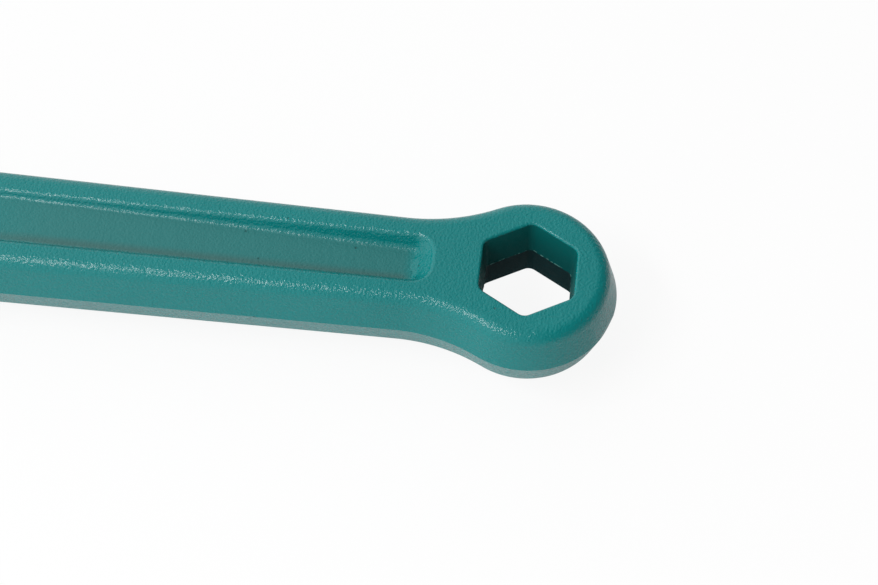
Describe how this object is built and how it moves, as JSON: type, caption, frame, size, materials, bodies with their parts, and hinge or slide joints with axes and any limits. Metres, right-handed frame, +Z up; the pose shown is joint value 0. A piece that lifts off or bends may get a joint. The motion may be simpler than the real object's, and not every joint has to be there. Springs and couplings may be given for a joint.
{
  "type": "pipe wrench",
  "caption": "Straight pipe wrench: cast I-section handle with a hexagonal hanging eye, pinned heel jaw, sprung hook jaw on a threaded shank, and a knurled nut.",
  "frame": {"origin": "centre of the bounding box's lowest face, with the wrench lying on its side and the jaws 12 mm open", "axes": "+X along the handle from the jaws to the hanging eye, +Y away from the side that the jaws open to, +Z up through the handle's thickness"},
  "size_m": [0.35, 0.0754, 0.0339],
  "materials": {
    "enamel": "semi-gloss teal enamel over a fine sand-cast surface",
    "jaw_steel": "forged and blackened, teeth ground",
    "nut_steel": "blackened, knurl tips worn bright",
    "spring_steel": "tempered spring steel, lightly oiled",
    "plated_steel": "zinc plated"
  },
  "bodies": {
    "handle": {"handle": "enamel", "heel_jaw": "jaw_steel", "heel_jaw_pin": "plated_steel", "coil_spring": "spring_steel"},
    "jaw_carrier": {"flat_spring": "spring_steel", "spring_rivet": "plated_steel"},
    "nut": {"adjusting_nut": "nut_steel"},
    "hook_jaw": {"hook_jaw": "jaw_steel"}
  },
  "joints": [
    {"name": "jaw_rock", "type": "hinge", "parent": "handle", "child": "jaw_carrier", "pos_m": [-0.09281, 0.01426, 0.01697], "axis": [0, 0, 1], "range_deg": [0, 3], "stiffness_Nm_per_rad": 0.5, "springref_deg": -2.86, "deforming": ["coil_spring"]},
    {"name": "nut_spin", "type": "hinge", "parent": "jaw_carrier", "child": "nut", "pos_m": [-0.09281, 0.01426, 0.01697], "axis": [1, 0, 0], "range_deg": [-963, 4410]},
    {"name": "jaw_slide", "type": "slide", "parent": "jaw_carrier", "child": "hook_jaw", "axis": [-1, 0, 0], "range_m": [-0.0107, 0.049]}
  ],
  "couplings": [
    {"joint": "nut_spin", "follows": "jaw_slide", "rad_per_m": 1570.8}
  ]
}
